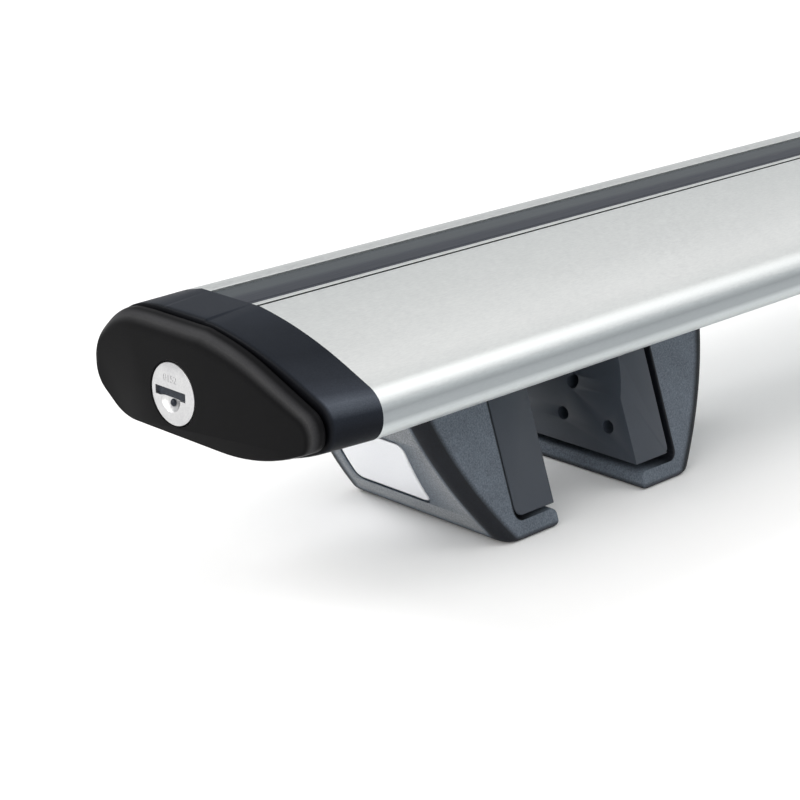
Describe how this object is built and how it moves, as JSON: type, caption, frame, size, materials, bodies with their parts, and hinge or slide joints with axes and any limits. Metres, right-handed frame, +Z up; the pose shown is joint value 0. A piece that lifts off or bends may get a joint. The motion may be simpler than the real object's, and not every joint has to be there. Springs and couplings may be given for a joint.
{
  "type": "roof rack crossbar",
  "caption": "Aluminium wing-profile roof rack crossbar with a rubber slot strip, lockable end caps and sliding two-jaw feet that clamp a raised roof rail.",
  "frame": {"origin": "centre of the bounding box's underside: on the ground under the middle of the bar, which stands on its jaw lips", "axes": "+X along the bar, +Y towards the blunt leading edge, +Z up"},
  "size_m": [1.18, 0.0872, 0.075],
  "materials": {
    "bar_aluminium": "satin anodised, fine grain",
    "strip_rubber": "smooth dark grey rubber",
    "cap_plastic": "fine-grained matte black",
    "lock_satin": "satin nickel",
    "zinc": "bright zinc plate",
    "steel": "zinc-plated steel",
    "spring_steel": "blackened spring steel",
    "jaw_plastic": "speckled dark grey texture",
    "pad_rubber": "smooth dark grey rubber",
    "pin_plastic": "black",
    "badge": "silver, bare"
  },
  "bodies": {
    "bar": {"bar_profile": "bar_aluminium", "slot_strip": "strip_rubber"},
    "left_cap": {"left_end_cap": "cap_plastic", "left_lock_sleeve": "zinc"},
    "left_lock": {"left_lock_core": "lock_satin", "left_lock_cam": "zinc", "left_cam_screw": "steel"},
    "left_foot": {"left_outer_jaw": "jaw_plastic", "left_outer_pad": "pad_rubber", "left_outer_pad_pins": "pin_plastic", "left_badge_plate": "badge", "left_outer_carrier": "zinc", "left_outer_carrier_screws": "steel", "left_thrust_washer": "steel"},
    "left_bolt": {"left_tension_bolt": "steel", "left_bolt_clip": "spring_steel"},
    "left_clamp": {"left_inner_jaw": "jaw_plastic", "left_inner_pad": "pad_rubber", "left_inner_pad_pins": "pin_plastic", "left_inner_carrier": "zinc", "left_inner_carrier_screws": "steel"},
    "right_cap": {"right_end_cap": "cap_plastic", "right_lock_sleeve": "zinc"},
    "right_lock": {"right_lock_core": "lock_satin", "right_lock_cam": "zinc", "right_cam_screw": "steel"},
    "right_foot": {"right_outer_jaw": "jaw_plastic", "right_outer_pad": "pad_rubber", "right_outer_pad_pins": "pin_plastic", "right_badge_plate": "badge", "right_outer_carrier": "zinc", "right_outer_carrier_screws": "steel", "right_thrust_washer": "steel"},
    "right_bolt": {"right_tension_bolt": "steel", "right_bolt_clip": "spring_steel"},
    "right_clamp": {"right_inner_jaw": "jaw_plastic", "right_inner_pad": "pad_rubber", "right_inner_pad_pins": "pin_plastic", "right_inner_carrier": "zinc", "right_inner_carrier_screws": "steel"}
  },
  "joints": [
    {"name": "left_foot_slide", "type": "slide", "parent": "bar", "child": "left_foot", "axis": [1, 0, 0], "range_m": [-0.015, 0.06]},
    {"name": "left_bolt_turn", "type": "hinge", "parent": "left_foot", "child": "left_bolt", "pos_m": [-0.469, 0.0121, 0.0536], "axis": [1, 0, 0], "range_deg": [-1441, 4321]},
    {"name": "left_jaw_clamp", "type": "slide", "parent": "left_foot", "child": "left_clamp", "axis": [-1, 0, 0], "range_m": [-0.005, 0.015]},
    {"name": "left_cap_pull", "type": "slide", "parent": "bar", "child": "left_cap", "axis": [-1, 0, 0], "range_m": [0, 0.045]},
    {"name": "left_lock_turn", "type": "hinge", "parent": "left_cap", "child": "left_lock", "pos_m": [-0.59, 0.0121, 0.0536], "axis": [-1, 0, 0], "range_deg": [0, 90]},
    {"name": "right_foot_slide", "type": "slide", "parent": "bar", "child": "right_foot", "axis": [-1, 0, 0], "range_m": [-0.015, 0.06]},
    {"name": "right_bolt_turn", "type": "hinge", "parent": "right_foot", "child": "right_bolt", "pos_m": [0.469, 0.0121, 0.0536], "axis": [-1, 0, 0], "range_deg": [-1441, 4321]},
    {"name": "right_jaw_clamp", "type": "slide", "parent": "right_foot", "child": "right_clamp", "axis": [1, 0, 0], "range_m": [-0.005, 0.015]},
    {"name": "right_cap_pull", "type": "slide", "parent": "bar", "child": "right_cap", "axis": [1, 0, 0], "range_m": [0, 0.045]},
    {"name": "right_lock_turn", "type": "hinge", "parent": "right_cap", "child": "right_lock", "pos_m": [0.59, 0.0121, 0.0536], "axis": [-1, 0, 0], "range_deg": [0, 90]}
  ],
  "couplings": [
    {"joint": "left_bolt_turn", "follows": "left_jaw_clamp", "rad_per_m": 5026.5},
    {"joint": "right_bolt_turn", "follows": "right_jaw_clamp", "rad_per_m": 5026.5}
  ]
}
